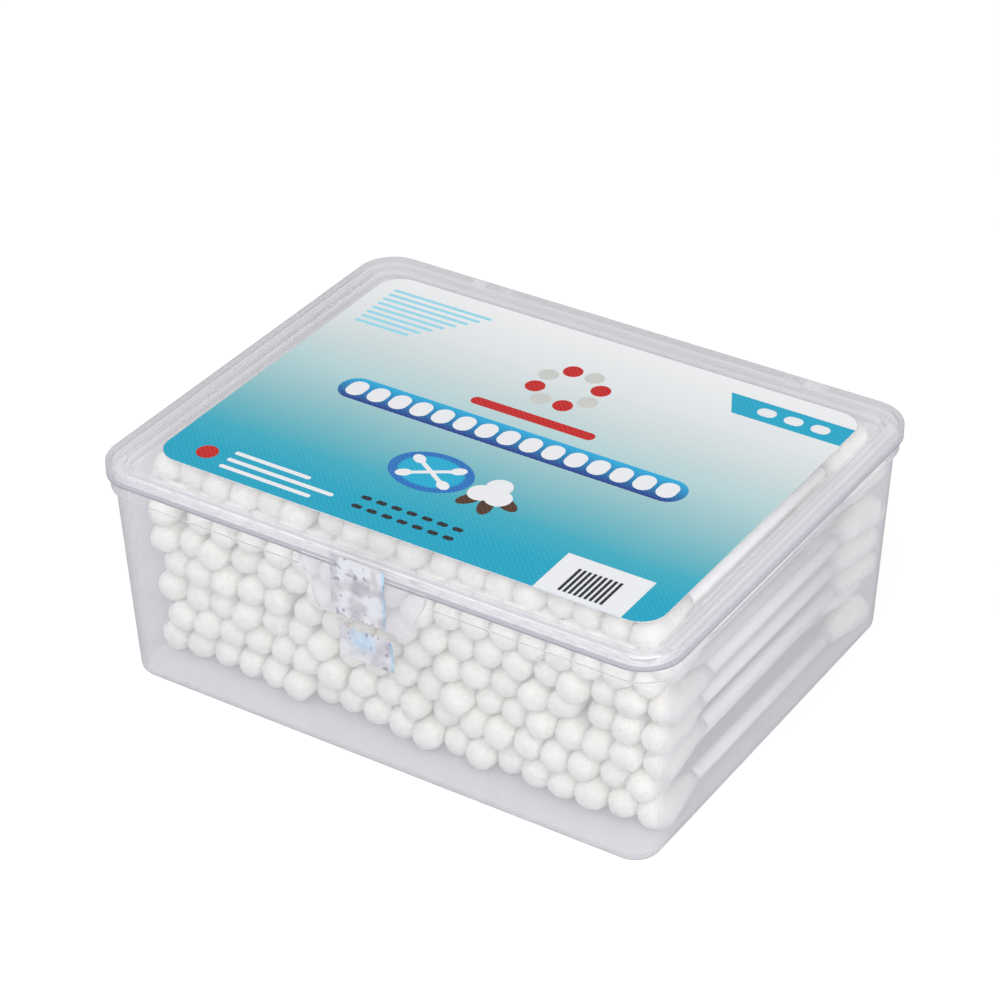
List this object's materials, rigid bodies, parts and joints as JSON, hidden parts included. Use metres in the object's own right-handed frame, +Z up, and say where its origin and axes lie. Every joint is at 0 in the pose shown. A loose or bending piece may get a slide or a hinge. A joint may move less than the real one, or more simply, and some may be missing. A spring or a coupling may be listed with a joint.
{
  "type": "cotton swab box",
  "caption": "Clear plastic flip-lid box filled with layers of double-ended cotton swabs; hinged lid with a front tab and a printed label.",
  "frame": {"origin": "middle of the tub's underside, where the diagonals of the closed box's plan cross (the hinge stands out behind it)", "axes": "+X to the right along the front, +Y towards the hinge at the back, +Z up"},
  "size_m": [0.108, 0.0885, 0.0422],
  "materials": {
    "tub_plastic": "clear, faintly lilac, smooth",
    "lid_plastic": "clear, faintly lilac, smooth",
    "label_film": "satin film with a fine embossed texture",
    "ink_deep_cyan": "satin print",
    "ink_mid_cyan": "satin print",
    "ink_pale_cyan": "satin print",
    "ink_near_white": "satin print",
    "ink_navy": "satin print",
    "ink_white": "satin print",
    "ink_blue": "satin print",
    "ink_black": "satin print",
    "ink_red": "satin print",
    "ink_grey": "satin print",
    "ink_pale_blue": "satin print",
    "ink_brown": "satin print",
    "seal_foil": "silvery film that shifts between lilac and pale blue",
    "cotton": "soft matt cotton on paper sticks"
  },
  "bodies": {
    "tub": {"box_base": "tub_plastic", "seal_lower": "seal_foil", "swab_row_1": "cotton", "swab_row_2": "cotton", "swab_row_3": "cotton", "swab_row_4": "cotton", "swab_row_5": "cotton", "swab_row_6": "cotton", "swab_row_7": "cotton", "swab_row_8": "cotton"},
    "lid": {"lid": "lid_plastic", "label_sheet": "label_film", "label_field_deep": "ink_deep_cyan", "label_field_mid": "ink_mid_cyan", "label_field_pale": "ink_pale_cyan", "label_field_back": "ink_near_white", "label_navy_print": "ink_navy", "label_white_print": "ink_white", "label_blue_print": "ink_blue", "label_black_print": "ink_black", "label_red_print": "ink_red", "label_grey_print": "ink_grey", "label_pale_blue_print": "ink_pale_blue", "label_brown_print": "ink_brown", "seal_upper": "seal_foil"}
  },
  "joints": [
    {"name": "lid_hinge", "type": "hinge", "parent": "tub", "child": "lid", "pos_m": [0, 0.044, 0.0375], "axis": [-1, 0, 0], "range_deg": [0, 180]}
  ]
}
